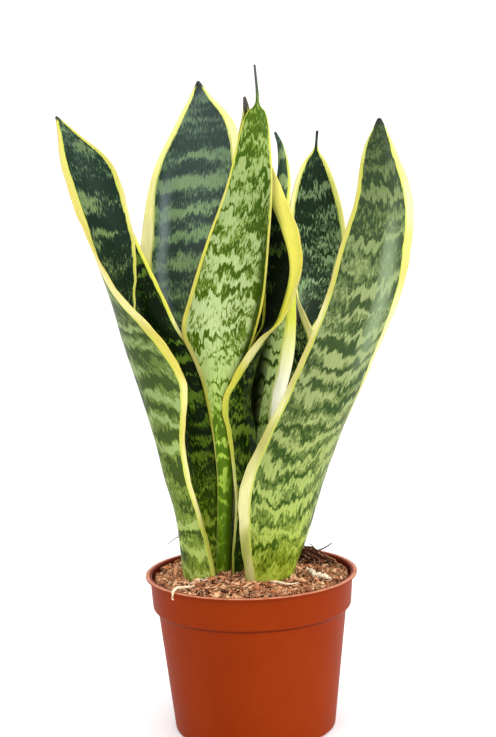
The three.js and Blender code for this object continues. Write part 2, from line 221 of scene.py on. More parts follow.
# %% Width of the yellow stripes: height, first margin, second margin
STRIPES = {
    "left_leaf": [
        (64, 3, 2), (120, 3, 2), (170, 3.6, 2), (205, 4.5, 2), (240, 6.5, 1.8), (268, 9.5, 2.2),
        (290, 9.5, 2.6), (310, 7, 3), (330, 3.8, 2.4), (344, 1.4, 1.2), (348, 0.6, 0.5)],
    "inner_left_leaf": [(64, 1.5, 1.5), (150, 2, 2), (220, 2.6, 2), (280, 2.4, 2), (307, 0.6, 0.6)],
    "back_left_leaf": [
        (64, 3, 3), (200, 6, 5), (250, 8.8, 6), (276, 8.4, 7), (292, 6.6, 7.6), (304, 4.8, 8),
        (322, 3.8, 7.6), (341, 3.2, 5.6), (356, 2.2, 3), (366, 0.3, 0.3)],
    "centre_leaf": [
        (64, 0.8, 0.8), (150, 1.2, 2.2), (178, 1.5, 3.4), (205, 1.7, 3.8), (230, 1.8, 3.2),
        (280, 1.7, 1.9), (330, 1.2, 1.2), (350, 0.5, 0.5), (373, -1, -1)],
    "inner_right_leaf": [
        (64, 2, 1.5), (131, 2, 2), (166, 2, 2.6), (190, 2, 3.4), (221, 2, 7), (240, 2, 14),
        (262, 2, 19), (282, 2, 19), (304, 2, 12), (332, 1.5, 5), (347, 0.8, 2), (356, -1, -1)],
    "inner_back_leaf": [
        (64, 2, 2), (162, 4, 2), (190, 8.5, 2), (215, 8.5, 2), (232, 6, 2), (260, 5, 2),
        (287, 3, 1.5), (311, 2, 1), (327, 0.8, 0.5), (336, -1, -1)],
    "back_right_leaf": [
        (64, 1.5, 1.5), (192, 2, 2), (212, 3.4, 2.2), (230, 5.4, 2.4), (248, 5, 2.5),
        (262, 2.8, 2.8), (300, 3.2, 3.2), (317, 2.6, 2.6), (326, 0.3, 0.3), (336, -1, -1)],
    "right_leaf": [
        (64, 3, 5.5), (92, 3, 6.6), (114, 4, 7.2), (145, 5, 8), (171, 6, 6), (206, 6.5, 4),
        (246, 7.5, 3.6), (273, 7.5, 3), (299, 7, 2.6), (324, 4.5, 2), (337, 1, 0.6), (342, -1, -1)],
}
print("widest stripe, mm:", max(max(row[1:]) for rows in STRIPES.values() for row in rows))

# %% [markdown]
# The cross-bands are pale on dark, and how much of the skin is pale changes up the leaf as
# well: the centre leaf has a plain dark stalk, cream blotches above it and a speckled green top.
# This table gives the pale share, from 0 to 1, on the two sides of the blade.

# %% How much of the skin is pale: height, outer side, inner side
PALE_SHARES = {
    "left_leaf": [
        (88, 0.62, 0.3), (140, 0.42, 0.3), (200, 0.42, 0.22), (240, 0.45, 0.25), (348, 0.4, 0.4)],
    "inner_left_leaf": [
        (88, 0.6, 0.3), (115, 0.35, 0.3), (170, 0.25, 0.3), (230, 0.3, 0.3), (307, 0.2, 0.3)],
    "back_left_leaf": [
        (88, 0.5, 0.4), (220, 0.5, 0.52), (305, 0.5, 0.48), (345, 0.5, 0.35), (366, 0.5, 0.2)],
    "centre_leaf": [
        (88, 0.25, 0.3), (162, 0.3, 0.3), (178, 0.6, 0.3), (203, 0.85, 0.3), (232, 0.66, 0.3),
        (262, 0.45, 0.3), (290, 0.56, 0.3), (305, 0.58, 0.3), (322, 0.45, 0.3), (334, 0.2, 0.3),
        (350, 0.15, 0.3)],
    "inner_right_leaf": [(88, 0.3, 0.3), (180, 0.4, 0.3), (240, 0.35, 0.22), (356, 0.3, 0.35)],
    "inner_back_leaf": [
        (88, 0.4, 0.4), (170, 0.66, 0.4), (230, 0.72, 0.4), (290, 0.4, 0.4), (336, 0.3, 0.4)],
    "back_right_leaf": [
        (88, 0.4, 0.3), (230, 0.4, 0.36), (272, 0.4, 0.42), (290, 0.4, 0.22), (320, 0.4, 0.15)],
    "right_leaf": [
        (88, 0.8, 0.4), (104, 0.5, 0.4), (125, 0.62, 0.4), (200, 0.54, 0.4), (260, 0.44, 0.4),
        (300, 0.36, 0.4), (342, 0.22, 0.4)],
}
print("leaves with a table of pale shares:", len(PALE_SHARES))

# %% [markdown]
# Each ring is an arc with a thickness: nearly 4 mm on the midline of a leaf's foot, 2 mm near
# its tip, and under 1 mm at the margins, which are rounded as a real leaf's are. The margins
# also wave a little in and out, by a few tenths of a millimetre.

# %% The blade of a leaf
FOOT_THICKNESS, TIP_THICKNESS, MARGIN_THICKNESS = 3.8, 2.0, 0.9
RINGS_PER_STATION, SIDE_POINTS, CAP_POINTS = 9, 25, 4
FLUTTER, FLUTTER_LENGTHS, FULL_WIDTH = 0.7, (41, 23, 13), 30  # narrower leaves wave less
SOIL_LINE = 88


def waves(along, lengths, seed):
    """A wandering curve between about -1 and 1, the sum of one sine for each wavelength."""
    phases = np.random.RandomState(seed).uniform(0, 2 * np.pi, len(lengths))
    return sum(np.sin(2 * np.pi * along / each + p) for each, p in zip(lengths, phases)) / len(lengths)


def blade_ring(row, growth, wave):
    """The points of one ring of a blade, and how far along its arc each is from the midline."""
    x, y, z, width, faces, hollow = row
    width = max(width, MARGIN_THICKNESS)
    hollow = max(hollow, width / 10)
    turn = math.radians(faces)
    across = np.array([math.cos(turn), math.sin(turn), 0])
    outward = np.array([-math.sin(turn), math.cos(turn), 0])
    radius = (width ** 2 / 4 + hollow ** 2) / (2 * hollow)
    sweep = 2 * math.atan(2 * hollow / width)
    broad = FOOT_THICKNESS + (TIP_THICKNESS - FOOT_THICKNESS) * growth
    swell = min(broad, MARGIN_THICKNESS + width / 3) - MARGIN_THICKNESS
    cap = MARGIN_THICKNESS / 2
    edge = 1 - min(0.95, cap / (radius * sweep))
    share = edge * np.cos(np.pi * np.arange(SIDE_POINTS) / (SIDE_POINTS - 1))
    half = cap + swell * (1 - (share / edge) ** 2) / 2
    turns = np.pi * (np.arange(CAP_POINTS) + 1) / (CAP_POINTS + 1)
    ones = np.ones(CAP_POINTS)
    # Round the ring: outer side, first margin, inner side, second margin.
    angle = sweep * np.concatenate([share, -edge * ones, -share, edge * ones])
    rise = np.concatenate([half, cap * np.cos(turns), -half, -cap * np.cos(turns)])
    past = np.concatenate([0 * half, -cap * np.sin(turns), 0 * half, cap * np.sin(turns)])
    reach = radius + rise
    side = np.where(angle > 0, wave[1], wave[0]) * (np.abs(angle) / sweep) ** 4
    sideways = reach * np.sin(angle) + past * np.cos(angle)
    depth = reach * np.cos(angle) - past * np.sin(angle) - radius * math.cos(sweep) + side
    points = np.array([x, y, z]) + sideways[:, None] * across + depth[:, None] * outward
    return points, radius * angle + past, radius * sweep


def blade(name, seed):
    """Points, faces, named numbers and the inner or outer skin of each face of a leaf."""
    rows = smooth_rows(LEAVES[name], RINGS_PER_STATION)
    along = np.concatenate([[0], np.cumsum(np.linalg.norm(np.diff(rows[:, :3], axis=0), axis=1))])
    stripes, shares = np.array(STRIPES[name], float), np.array(PALE_SHARES[name], float)
    flutter = np.minimum(rows[:, 3] / FULL_WIDTH, 1) * FLUTTER
    first, second = (flutter * waves(along, FLUTTER_LENGTHS, seed + i) for i in (0, 1))
    around = 2 * (SIDE_POINTS + CAP_POINTS)
    half_cap = CAP_POINTS // 2
    outer = np.array([j < SIDE_POINTS + half_cap or j >= around - half_cap for j in range(around)])
    rings, across, edge, rim, pale = [], [], [], [], []
    for i, row in enumerate(rows):
        points, place, end = blade_ring(row, i / (len(rows) - 1), (first[i], second[i]))
        stripe = [np.interp(row[2], stripes[:, 0], stripes[:, k]) for k in (1, 2)]
        share = [np.interp(row[2], shares[:, 0], shares[:, k]) for k in (1, 2)]
        rings.append(points)
        across.append(place)
        edge.append(end - np.abs(place))
        rim.append(np.where(place < 0, stripe[0], stripe[1]) - edge[-1])
        pale.append(np.where(outer, share[0], share[1]))
    tip = rings[-1].mean(0) + [0, 0, 0.5]
    points = np.vstack(rings + [tip[None]])
    faces = join_rings(len(rings), around)
    last = (len(rings) - 1) * around
    faces += [(last + j, last + (j + 1) % around, len(points) - 1) for j in range(around)]
    faces.append(tuple(range(around))[::-1])
    face_slots = np.where(outer, 0, 1).tolist() * len(rings) + [0]
    repeated = np.repeat(along, around)
    growth = (rows[:, 2] - SOIL_LINE) / (rows[-1, 2] - SOIL_LINE)
    attributes = {
        "across": np.append(np.concatenate(across), 0),
        "along": np.append(repeated, along[-1]),
        "growth": np.append(np.repeat(growth, around), 1),
        "to_tip": np.append(along[-1] - repeated, 0),
        "edge": np.append(np.concatenate(edge), 0),
        "rim": np.append(np.concatenate(rim), -1),
        "pale": np.append(np.concatenate(pale), 0.5),
    }
    return points, faces, attributes, face_slots


# %% [markdown]
# ## The leaves' skin
#
# The skin is a waxy cuticle over living tissue, with cross-bands in greens from nearly black to
# cream. Up close a band's edge is ragged, because each thread of cells along the leaf turns
# pale or dark by itself, so the bands look combed. The recipe adds up three things and then
# cuts the sum at two levels, which gives dark, middle and pale skin:
#
# - the bands: a wave along the leaf and a noise stretched across it, both pushed up and down by
#   a slow sway and by teeth a few millimetres wide,
# - the grain: a noise under 1 mm wide and a few millimetres long, which breaks the edges up,
# - the table of pale shares.

# %% The sizes of the skin's pattern, in millimetres
TOOTH_LENGTH = 16.0
SWAY_WIDTH, SWAY_LENGTH = 30.0, 50.0
GRAIN_WIDTH, GRAIN_LENGTH = 0.9, 3.4
THREAD_WIDTH, THREAD_LENGTH = 0.8, 14.0


def stretched_noise(tree, place, width, length, detail):
    """Noise on the leaf whose blots are about width by length millimetres."""
    at = add(tree, "VectorMath", {0: place, 1: (1 / width, 1 / length, 1)}, operation="MULTIPLY")
    return add(tree, "TexNoise", {"Vector": at, "Scale": 1.0, "Detail": detail, "Roughness": 0.62})


print("grain:", GRAIN_WIDTH, "by", GRAIN_LENGTH, "mm")

# %% [markdown]
# The look of a skin is a set of numbers and colours with names. Most leaves share most of them,
# so the usual ones stand here once, and the table of leaves further down only says what each
# one changes. Lengths are millimetres again. The cuticle's satin is a roughness of about 0.4.

# %% The usual look of a skin
USUAL_LOOK = dict(
    spacing=14.0,  # from one band to the next
    order=0.6,  # how even the bands are, where 0 is blotches only
    reach=26.0,  # how far a blotch runs across the leaf
    tooth=3.2,  # how wide the teeth of a band's edge are
    jag=16.0,  # how hard the teeth push a band up and down
    sag=24.0,  # how hard the slow sway does
    tilt=0.0,  # how much a band falls for each millimetre towards the second margin
    smile=0.0,  # how much higher a band is 20 mm from the midline
    grain=0.7,  # how much the grain breaks the bands up
    grain_top=None,  # the same in the leaf's upper part, where it differs
    mid=0.045,  # half the width of the middle tone, in the sum
    soft=0.022,  # half the width of the change from tone to tone, in the sum
    sheen=0.4,  # roughness
    gloss=0.15,  # specular level
    cream="#F3EDA6",  # what parts of the stripe pale to
    creamy=1.0,  # how far they do
    dull=0.78,  # the tone of the stripe's darkest streaks
    seam="#A9B440",  # the stripe where it meets the skin
    seam_width=1.6,
    tip="#39402F",  # the dried tip
    tip_length=5.0,
    flank=0.0,  # how wide a strip of painted shade along the first margin is, or the second one if negative
    flank_tone=0.55,  # how dark that painted shade is
    painted_sheen=0.0,  # how far a streak of painted sheen stands from the stripe along the first margin
    painted_sheen_colour="#90A2A4")  # the painted sheen's colour
print("numbers and colours in a look:", len(USUAL_LOOK))

# %% [markdown]
# The bands lean with the leaf and sag in the middle, so their place is the distance along the
# leaf, corrected by how far across it a point is, and by the teeth and the sway.

# %% The bands
BLADE_NUMBERS = ("across", "along", "edge", "rim", "pale", "growth", "to_tip")
NOISE_SPREAD = 0.11  # how far the noise strays from its mean of 0.5
SMILE_REACH = 20
UPPER_PART = (0.55, 0.85)  # the growth over which the grain changes


def band_sum(tree, seed, leaf, place, look):
    """A number over 0.5 where the skin is pale and under it where it is dark, and the sway."""
    teeth = stretched_noise(tree, place, look["tooth"], TOOTH_LENGTH, 2.0)
    sway = stretched_noise(tree, place, SWAY_WIDTH, SWAY_LENGTH, 1.0)
    fine = stretched_noise(tree, place, GRAIN_WIDTH, GRAIN_LENGTH, 3.0)
    grain = look["grain"]
    if look["grain_top"] is not None:
        grain = add(tree, "MapRange", {0: leaf["growth"], 1: UPPER_PART[0], 2: UPPER_PART[1],
                                       3: grain, 4: look["grain_top"]}, **EASED)
    squared = add(tree, "Math", {0: leaf["across"], 1: leaf["across"]}, operation="MULTIPLY")
    pushed = leaf["along"]
    for value, amount in ((leaf["across"], look["tilt"]), (squared, -look["smile"] / SMILE_REACH ** 2),
                          (teeth, look["jag"]), (sway, look["sag"])):
        pushed = add(tree, "Math", {0: value, 1: amount, 2: pushed}, operation="MULTIPLY_ADD")
    wave = add(tree, "Math", {0: pushed, 1: 2 * math.pi / look["spacing"]}, operation="MULTIPLY")
    wave = add(tree, "Math", {0: wave}, operation="SINE")
    blot_place = add(tree, "CombineXYZ", {"X": leaf["across"], "Y": pushed, "Z": seed + 40.0})
    total = stretched_noise(tree, blot_place, look["reach"], look["spacing"] / 2, 1.5)
    fine = add(tree, "Math", {0: fine, 1: 0.5}, operation="SUBTRACT")
    share = add(tree, "Math", {0: leaf["pale"], 1: 0.5}, operation="SUBTRACT")
    for value, amount in ((wave, look["order"] * NOISE_SPREAD), (fine, grain), (share, 3 * NOISE_SPREAD)):
        total = add(tree, "Math", {0: value, 1: amount, 2: total}, operation="MULTIPLY_ADD")
    return total, sway


print("the blade's numbers that a skin reads:", *BLADE_NUMBERS)

# %% [markdown]
# The sum is cut softly into three tones. Each tone is a ramp of colours from the leaf's foot to
# its tip. The threads of cells streak all of them, a little darker and a little lighter.

# %% The skin's colour
THREADS = (0.3, 0.7)  # the part of the threads' noise that is seen
THREAD_TONES = (0.84, 1.14)


def evenly(hex_colours):
    """Colour stops at even distances from 0 to 1."""
    return [(i / (len(hex_colours) - 1), colour) for i, colour in enumerate(hex_colours)]


def skin_colour(tree, total, leaf, thread, look):
    """Dark, middle and light skin, and the dark tone alone."""
    dark, middle, light = (add(tree, "ValToRGB", {"Fac": leaf["growth"]}, stops=evenly(look[tone]))
                           for tone in ("dark", "middle", "light"))
    low, high, soft = 0.5 - look["mid"], 0.5 + look["mid"], look["soft"]
    to_middle = add(tree, "MapRange", {0: total, 1: low - soft, 2: low + soft}, **EASED)
    to_light = add(tree, "MapRange", {0: total, 1: high - soft, 2: high + soft}, **EASED)
    skin = add(tree, "Mix", {0: to_middle, 6: dark, 7: middle}, **TWO_COLOURS)
    skin = add(tree, "Mix", {0: to_light, 6: skin, 7: light}, **TWO_COLOURS)
    tone = add(tree, "MapRange", {0: thread, 1: THREADS[0], 2: THREADS[1],
                                  3: THREAD_TONES[0], 4: THREAD_TONES[1]})
    return add(tree, "VectorMath", {0: skin, 1: tone}, operation="MULTIPLY"), dark


print("stops for three colours:", [place for place, colour in evenly(("dark", "middle", "light"))])

# %% [markdown]
# Some leaves stand so close to others that a strip of them gets little light: that strip is
# painted shade, a darker skin. A pale streak beside the stripe of some leaves is painted sheen.
# Both fade out with the growth, which is 0 at the soil and 1 at the tip, and both stay on one side
# of the midline, which a narrow eased range over the distance across it sees to. A place that
# needs several conditions at once, as these do, is the product of one eased range for each.

# %% Painted shade flank and painted sheen
MIDLINE = (-0.5, 0.5)
# How strong the painted shade and the painted sheen are, the part of the flank at full strength, and the
# growth at which they fade.
FLANK_SHARE, FLANK_CORE, FLANK_ENDS = 0.96, 0.45, (0.6, 0.8)
PAINTED_SHEEN_SHARE, PAINTED_SHEEN_STARTS, PAINTED_SHEEN_ENDS = 0.5, (0.42, 0.56), (0.7, 0.86)
PAINTED_SHEEN_EDGES = (2.2, 0.1)  # its far and near edge, as parts of its distance from the stripe


def product(tree, fades):
    """The product of some eased ranges: value, from, to, what it gives before and after."""
    made = 1.0
    for value, low, high, before, after in fades:
        fade = add(tree, "MapRange", {0: value, 1: low, 2: high, 3: before, 4: after}, **EASED)
        made = add(tree, "Math", {0: made, 1: fade}, operation="MULTIPLY")
    return made


def with_painted_shade_flank(tree, skin, dark, leaf, look):
    """The skin with painted shade, a darker strip along one margin, in the leaf's lower part."""
    width = abs(look["flank"])
    first, second = float(look["flank"] > 0), float(look["flank"] < 0)
    fades = [(leaf["edge"], width * FLANK_CORE, width, FLANK_SHARE, 0.0),
             (leaf["across"], *MIDLINE, first, second), (leaf["growth"], *FLANK_ENDS, 1.0, 0.0)]
    painted_shade = add(tree, "VectorMath", {0: dark, 1: (look["flank_tone"],) * 3}, operation="MULTIPLY")
    return add(tree, "Mix", {0: product(tree, fades), 6: skin, 7: painted_shade}, **TWO_COLOURS)


def with_painted_sheen(tree, skin, leaf, look):
    """The skin with a painted sheen, a pale streak beside the stripe along its first margin."""
    middle = -look["painted_sheen"]
    far, near = (middle * part for part in PAINTED_SHEEN_EDGES)
    fades = [(leaf["rim"], far, middle, 0.0, 1.0), (leaf["rim"], middle, near, 1.0, 0.0),
             (leaf["across"], *MIDLINE, 1.0, 0.0), (leaf["growth"], *PAINTED_SHEEN_ENDS, 1.0, 0.0),
             (leaf["growth"], *PAINTED_SHEEN_STARTS, 0.0, PAINTED_SHEEN_SHARE)]
    return add(tree, "Mix", {0: product(tree, fades), 6: skin, 7: look["painted_sheen_colour"]}, **TWO_COLOURS)


print("the bloom fades in from growth", *PAINTED_SHEEN_STARTS, "and out from", *PAINTED_SHEEN_ENDS)

# %% [markdown]
# The stripe along a margin is nearly bare of green. It is yellow-green where it meets the skin,
# varies from yellow to cream, has fine streaks, and ends in a thin tan line at the very edge.

# %% The stripe's colour
TAN_EDGE, TAN_WIDTH, TAN_SHARE = "#B8943C", (0.1, 0.45), 0.35
CREAM_SWAY, STREAK_RANGE, SEAM_SHARE, SEAM_START = (0.42, 0.62), 0.18, 0.8, 1.0


def stripe_colour(tree, sway, ragged, leaf, thread, look):
    """The colour of the yellow margin, by how far into it a point is."""
    yellow = add(tree, "ValToRGB", {"Fac": leaf["growth"]}, stops=evenly(look["stripe"]))
    cream = add(tree, "MapRange", {0: sway, 1: CREAM_SWAY[0], 2: CREAM_SWAY[1], 4: look["creamy"]},
                **EASED)
    streak = add(tree, "MapRange", {0: thread, 1: THREADS[0], 2: THREADS[1],
                                    3: look["dull"], 4: look["dull"] + STREAK_RANGE})
    seam = add(tree, "MapRange", {0: ragged, 1: SEAM_START, 2: SEAM_START + look["seam_width"],
                                  3: SEAM_SHARE, 4: 0.0}, **EASED)
    tan = add(tree, "MapRange", {0: leaf["edge"], 1: TAN_WIDTH[0], 2: TAN_WIDTH[1],
                                 3: TAN_SHARE, 4: 0.0}, **EASED)
    yellow = add(tree, "Mix", {0: cream, 6: yellow, 7: look["cream"]}, **TWO_COLOURS)
    yellow = add(tree, "VectorMath", {0: yellow, 1: streak}, operation="MULTIPLY")
    yellow = add(tree, "Mix", {0: seam, 6: yellow, 7: look["seam"]}, **TWO_COLOURS)
    return add(tree, "Mix", {0: tan, 6: yellow, 7: TAN_EDGE}, **TWO_COLOURS)


print("the tan line at the very edge ends", TAN_WIDTH[1], "mm from it")

# %% [markdown]
# The whole skin puts the stripe over the skin, with a border that each thread of cells moves a
# little, and the dried tip over both. Plant wax has an IOR of about 1.45. The relief of the
# threads is far under a millimetre deep, so a bump does for it.

# %% The whole skin
CUTICLE_IOR = 1.45
RAGGED_BY, STRIPE_BORDER = 1.6, (0.65, 0.95)
TIP_CORE = 0.4  # the part of the dried tip that is wholly dry
SHEEN_RANGE = (-0.08, 0.12)
THREAD_RELIEF = 0.15


def leaf_skin(name, seed, own_look):
    """A snake plant's skin: the usual look with this leaf's own changes."""
    look = {**USUAL_LOOK, **own_look}
    material, tree = new_material(name)
    leaf = {key: add(tree, "Attribute", out="Fac", attribute_name=key) for key in BLADE_NUMBERS}
    place = add(tree, "CombineXYZ", {"X": leaf["across"], "Y": leaf["along"], "Z": float(seed)})
    thread = stretched_noise(tree, place, THREAD_WIDTH, THREAD_LENGTH, 2.0)
    total, sway = band_sum(tree, seed, leaf, place, look)
    skin, dark = skin_colour(tree, total, leaf, thread, look)
    # Painted shade along one margin, then a painted sheen beside the first stripe.
    if look["flank"]:
        skin = with_painted_shade_flank(tree, skin, dark, leaf, look)
    if look["painted_sheen"]:
        skin = with_painted_sheen(tree, skin, leaf, look)
    ragged = add(tree, "Math", {0: thread, 1: RAGGED_BY, 2: leaf["rim"]}, operation="MULTIPLY_ADD")
    yellow = stripe_colour(tree, sway, ragged, leaf, thread, look)
    at_rim = add(tree, "MapRange", {0: ragged, 1: STRIPE_BORDER[0], 2: STRIPE_BORDER[1]}, **EASED)
    at_tip = add(tree, "MapRange", {0: leaf["to_tip"], 1: look["tip_length"] * TIP_CORE,
                                    2: look["tip_length"], 3: 1.0, 4: 0.0}, **EASED)
    colour = add(tree, "Mix", {0: at_rim, 6: skin, 7: yellow}, **TWO_COLOURS)
    colour = add(tree, "Mix", {0: at_tip, 6: colour, 7: look["tip"]}, **TWO_COLOURS)
    rough = add(tree, "MapRange", {0: thread, 3: look["sheen"] + SHEEN_RANGE[0],
                                   4: look["sheen"] + SHEEN_RANGE[1]})
    relief = add(tree, "Bump", {"Height": thread, "Strength": 0.3, "Distance": THREAD_RELIEF * MM})
    shader = add(tree, "BsdfPrincipled", {
        "Base Color": colour, "Roughness": rough, "Normal": relief, "IOR": CUTICLE_IOR,
        "Specular IOR Level": look["gloss"]})
    add(tree, "OutputMaterial", {"Surface": shader})
    return material


print("a thread moves the stripe's border by up to", RAGGED_BY, "mm")

# %% [markdown]
# All eight leaves share the recipe, but each has a colour of its own: the centre one is
# bright olive with cream blotches, the back ones are blue-green with soft bands, and the feet
# are yellow-green. The ones between are nearly black, and the outer skin of a leaf is paler than
# its inner one: both are partly the leaves' own dark green and partly painted shade, for the
# leaves between and the inner skins stand in the shade of the others. A side that is hardly
# seen from the front has a plain look of its own.

# %% The look of each leaf: outer side, inner side, with colours from its foot to its tip
INNER_SEED = 10  # added to a leaf's seed for its inner skin
HIDDEN_SIDE = dict(
    dark=("#1C2C10", "#26381E", "#2A3E2C"), middle=("#3A4C24", "#42583A", "#425A42"),
    light=("#6A7E44", "#70885A", "#64805E"), stripe=("#C8CA64", "#E6E07A", "#ECE890"))
LEFT_MARGINS = dict(
    stripe=("#AEB44A", "#C2B54C", "#C9BE5E", "#C9C06E"), cream="#E6DE9C", creamy=0.7, tip_length=3.0)
BACK_RIGHT_MARGINS = dict(stripe=("#C8CC60", "#D2D672", "#E6E68C"), tip="#2A342A", tip_length=9.0)
# Many dark stops below are partly painted shade: the leaves between and the inner skins stand in the
# others' shade.
LOOKS = {
    "left_leaf": (
        dict(LEFT_MARGINS, dark=("#324307", "#354516", "#344421", "#3C4F2A"),
             middle=("#677A26", "#5D6F2E", "#526434", "#54663E"),
             light=("#98A952", "#7E9157", "#7C8B58", "#748356"),
             spacing=15.0, order=0.8, tilt=-0.2, grain=0.5, mid=0.07, gloss=0.12),
        dict(LEFT_MARGINS, dark=("#081004", "#081004", "#0A1406", "#132317", "#1D2D25"),
             middle=("#15210B", "#15210B", "#1D2D13", "#283A26", "#354A39"),
             light=("#3E4C32", "#3E4C32", "#536339", "#647548", "#576A48"),
             spacing=20.0, grain=0.9, gloss=0.06)),
    "inner_left_leaf": (
        dict(dark=("#475F03", "#0F1C02", "#081401", "#030701"),
             middle=("#87A028", "#283C05", "#26400A", "#0A1602"),
             light=("#B0C142", "#4A6212", "#567022", "#21310A"),
             stripe=("#98A638", "#B4BC40", "#D4CE50", "#DCD65C"),
             spacing=12.0, gloss=0.06, tip_length=3.0),
        HIDDEN_SIDE),
    "back_left_leaf": (
        dict(HIDDEN_SIDE, light=("#96A850", "#8EA266", "#8A9C6A"), spacing=17.0),
        dict(dark=("#1F2E0F", "#1B2E16", "#1E3428", "#1B2E28"),
             middle=("#4E6632", "#4F693E", "#456044", "#2F3F39"),
             light=("#819D4F", "#84A259", "#789560", "#425748"),
             stripe=("#D0CE66", "#F6EB7C", "#FAEF86", "#FAEF8A"), dull=0.88,
             spacing=16.0, order=1.05, jag=9.0, sag=15.0, tilt=-0.1, grain=0.85, mid=0.055,
             # A streak of painted sheen beside the first stripe.
             soft=0.035, sheen=0.34, gloss=0.4, painted_sheen=5.5, tip="#141E0E", tip_length=4.5)),
    "centre_leaf": (
        dict(dark=("#567A08", "#52730D", "#405907", "#334D08", "#425D0B"),
             middle=("#6A8C14", "#6C910F", "#6C822D", "#677F2F", "#5E781E"),
             light=("#8EAD30", "#ADCA49", "#B4C689", "#8EA166", "#899C48"),
             stripe=("#8CA01E", "#B4C040", "#E8DC60", "#D6D25C", "#A8B842"), cream="#E4DE84",
             seam="#BCC044", seam_width=0.9,
             spacing=12.5, order=0.95, reach=17.0, tooth=4.2, jag=34.0, sag=14.0, grain=0.55,
             # A strip of painted shade along the first margin.
             grain_top=0.9, soft=0.04, gloss=0.12, flank=7.0, tip="#3E463C", tip_length=23.0),
        HIDDEN_SIDE),
    "inner_right_leaf": (
        dict(dark=("#1C3004", "#081602", "#081602"), middle=("#3E5410", "#34480C", "#2C400C"),
             light=("#657725", "#596D1E", "#516620"), stripe=("#B0BA48", "#DCD652", "#ECE47A"),
             spacing=11.0, gloss=0.06, tip="#4A463E", tip_length=10.0),
        dict(dark=("#040A02", "#020801", "#10190A"), middle=("#0C1604", "#0A1404", "#16220C"),
             light=("#28380F", "#2C3C13", "#425424"), stripe=("#B0BA48", "#F2EA50", "#F2EA80"),
             seam="#6E8010", seam_width=5.0, dull=0.92, creamy=0.6,
             spacing=13.0, gloss=0.06, tip="#4A463E", tip_length=10.0)),
    "inner_back_leaf": (
        dict(dark=("#0A1403", "#33491A", "#34463A"), middle=("#5C7A2C", "#7E9844", "#4C6050"),
             light=("#8CA446", "#AEC27A", "#6A8058"),
             stripe=("#E0E08A", "#F0F0B0", "#FFFFE4", "#FFFFE0", "#D8DC54", "#D4DA44", "#D0D664",
                     "#C8CE70"), creamy=0.0,
             # A nearly black strip of painted shadow along the second margin, where the leaf beside it
             # shades it.
             spacing=11.0, grain=0.5, gloss=0.05, flank=-18.0, flank_tone=0.06, tip="#3C4A40",
             tip_length=6.0),
        HIDDEN_SIDE),
    "back_right_leaf": (
        dict(BACK_RIGHT_MARGINS, dark=("#0E1C06", "#0E1C06", "#182810"),
             middle=("#32461E", "#364A26", "#3A4E30"), light=("#6A7E44", "#708450", "#64785A"),
             spacing=13.0, gloss=0.08),
        dict(BACK_RIGHT_MARGINS, dark=("#0A1604", "#0C1806", "#142510", "#142517"),
             middle=("#304025", "#374A2A", "#3D5235", "#2D402B"),
             light=("#7C8C54", "#7E925A", "#748C62", "#566A4A"),
             spacing=13.0, order=0.7, grain=0.9, sheen=0.36, gloss=0.1)),
    "right_leaf": (
        dict(dark=("#364F02", "#2A4206", "#2B3F19", "#324222", "#2E3E23", "#1E2E18"),
             middle=("#798918", "#5A6C2F", "#516030", "#58673B", "#536338", "#324024"),
             light=("#9CAC39", "#8B9A4F", "#808B56", "#7F8B5A", "#6B784B", "#404A2E"),
             stripe=("#9AA244", "#A6A45A", "#BFB76A", "#C6BC62", "#BEB45E"), cream="#DAD696",
             spacing=13.0, order=1.05, tooth=4.0, jag=26.0, tilt=0.22, smile=6.0, grain=0.6,
             # A streak of painted sheen beside the first stripe, and a strip of painted shade along the
             # first margin.
             grain_top=1.0, mid=0.07, soft=0.035, gloss=0.11, painted_sheen=8.5, painted_sheen_colour="#8C9E7A", flank=4.0,
             tip="#222C22", tip_length=4.0),
        HIDDEN_SIDE),
}

for seed, (name, (outer, inner)) in enumerate(LOOKS.items(), start=1):
    skins = [leaf_skin(f"{name}_outer_cuticle", seed, outer),
             leaf_skin(f"{name}_inner_cuticle", seed + INNER_SEED, inner)]
    points, faces, attributes, face_slots = blade(name, seed)
    make_piece(f"{name}_blade", points, faces, skins, [name], attributes, face_slots)

# %% [markdown]
# ## The pot
#
# A grower's pot is thin polypropylene, injection moulded in one shot, dyed terracotta: a
# matte-satin surface with no grain, whose corners are all rounded, because sharp ones crack
# in the mould. A lathe is how its mould was made, so the mesh is a profile turned about the
# pot's axis, each corner with its own radius. The drain holes are cut with a boolean.

# %% The pot's profile: radius, height, rounding
POT_PROFILE = [
    (0, 0, 0), (16, 0, 0.5), (17.5, 2, 0.5), (34.5, 2, 0.5), (36, 0, 0.5), (44, 0, 0.8),
    (45.6, 0.8, 1.0), (45.85, 2.4, 1), (53.4, 69.4, 2.4), (56.2, 71, 2.2), (57.4, 88.6, 0.3),
    (59.8, 88.8, 0.3), (60, 89.2, 0.4), (60, 89.8, 0.4), (59.6, 90, 0.3), (57, 90, 0.4),
    (56.4, 89.4, 0.5), (55.2, 71.6, 0.7), (52.4, 70, 0.7), (45.4, 4.8, 2), (43, 2.4, 1),
    (41.6, 1.4, 0.8), (36.6, 1.4, 0.5), (35.4, 3.4, 0.5), (16.6, 3.4, 0.5), (15.4, 1.4, 0.5),
    (0, 1.4, 0)]
POT_STEPS = 180
HOLE_COUNT, HOLE_RING, HOLE_RADIUS, DRILL_LENGTH = 8, 26, 4, 14


